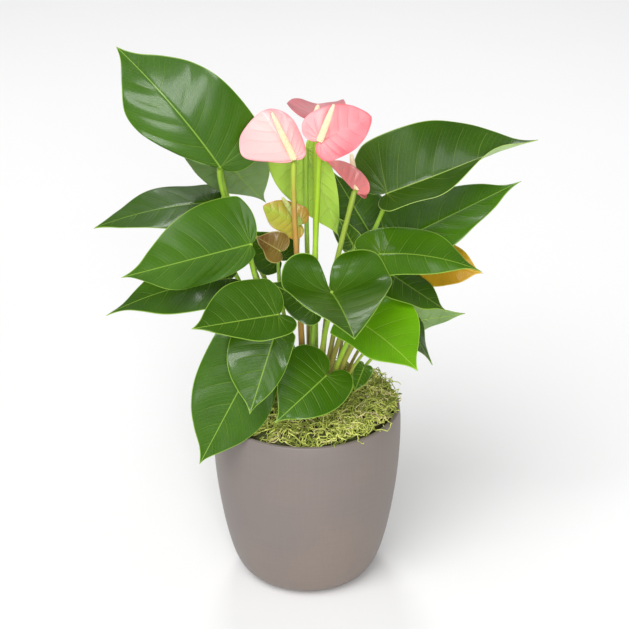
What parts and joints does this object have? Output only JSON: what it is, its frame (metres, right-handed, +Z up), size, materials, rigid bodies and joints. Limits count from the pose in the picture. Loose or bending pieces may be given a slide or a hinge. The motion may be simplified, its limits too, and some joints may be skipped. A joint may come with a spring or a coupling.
{
  "type": "potted anthurium",
  "caption": "Anthurium with glossy heart-shaped leaves and pink spathes around cream spadices, standing in moss in a tapered satin ceramic cover pot",
  "frame": {"origin": "centre of the pot's flat base", "axes": "+Z up along the pot's axis, +X to the viewer's right, +Y away from the viewer"},
  "size_m": [0.3412, 0.2194, 0.4331],
  "materials": {
    "pot_glaze": "satin",
    "grower_plastic": "matte",
    "potting_mix": "matte",
    "moss": "matte",
    "spadix_green": "matte",
    "spadix_cream": "satin",
    "flower_stalk": "satin",
    "spathe_pale_pink": "gloss",
    "spathe_coral_pink": "gloss",
    "spathe_faded": "satin",
    "spathe_dusky_pink": "satin",
    "petiole": "satin",
    "leaf_yellow": "satin",
    "leaf_bronze": "satin",
    "leaf_pale": "satin",
    "leaf_green": "gloss"
  },
  "bodies": {
    "root": {"cover_pot": "pot_glaze", "flower_faded_spadix": "spadix_green", "flower_faded_spathe": "spathe_faded", "flower_faded_stalk": "flower_stalk", "flower_left_spadix": "spadix_cream", "flower_left_spathe": "spathe_pale_pink", "flower_left_stalk": "flower_stalk", "flower_low_right_spadix": "spadix_cream", "flower_low_right_spathe": "spathe_dusky_pink", "flower_low_right_stalk": "flower_stalk", "flower_rear_spadix": "spadix_cream", "flower_rear_spathe": "spathe_dusky_pink", "flower_rear_stalk": "flower_stalk", "flower_right_spadix": "spadix_cream", "flower_right_spathe": "spathe_coral_pink", "flower_right_stalk": "flower_stalk", "grower_pot": "grower_plastic", "leaf_centre_pale_blade": "leaf_pale", "leaf_centre_pale_petiole": "petiole", "leaf_front_centre_blade": "leaf_green", "leaf_front_centre_petiole": "petiole", "leaf_front_left_blade": "leaf_green", "leaf_front_left_petiole": "petiole", "leaf_front_right_blade": "leaf_green", "leaf_front_right_petiole": "petiole", "leaf_front_shade": "leaf_green", "leaf_hanging_left_blade": "leaf_green", "leaf_hanging_left_petiole": "petiole", "leaf_left_front_blade": "leaf_green", "leaf_left_front_petiole": "petiole", "leaf_left_low_blade": "leaf_green", "leaf_left_low_petiole": "petiole", "leaf_left_rear_blade": "leaf_green", "leaf_left_rear_petiole": "petiole", "leaf_low_centre_blade": "leaf_green", "leaf_low_centre_petiole": "petiole", "leaf_low_left_blade": "leaf_green", "leaf_low_left_petiole": "petiole", "leaf_moss_small": "leaf_green", "leaf_old_yellow": "leaf_yellow", "leaf_rear_left": "leaf_green", "leaf_rear_right": "leaf_green", "leaf_rear_small": "leaf_green", "leaf_right_high_blade": "leaf_green", "leaf_right_high_petiole": "petiole", "leaf_right_low": "leaf_green", "leaf_right_mid_blade": "leaf_green", "leaf_right_mid_petiole": "petiole", "leaf_right_shade": "leaf_green", "leaf_right_under_blade": "leaf_green", "leaf_right_under_petiole": "petiole", "leaf_top_left_blade": "leaf_green", "leaf_top_left_petiole": "petiole", "leaf_top_left_rear_blade": "leaf_green", "leaf_top_left_rear_petiole": "petiole", "leaf_top_right_blade": "leaf_green", "leaf_top_right_petiole": "petiole", "leaf_young_bronze": "leaf_bronze", "moss": "moss", "potting_mix": "potting_mix"}
  },
  "joints": []
}
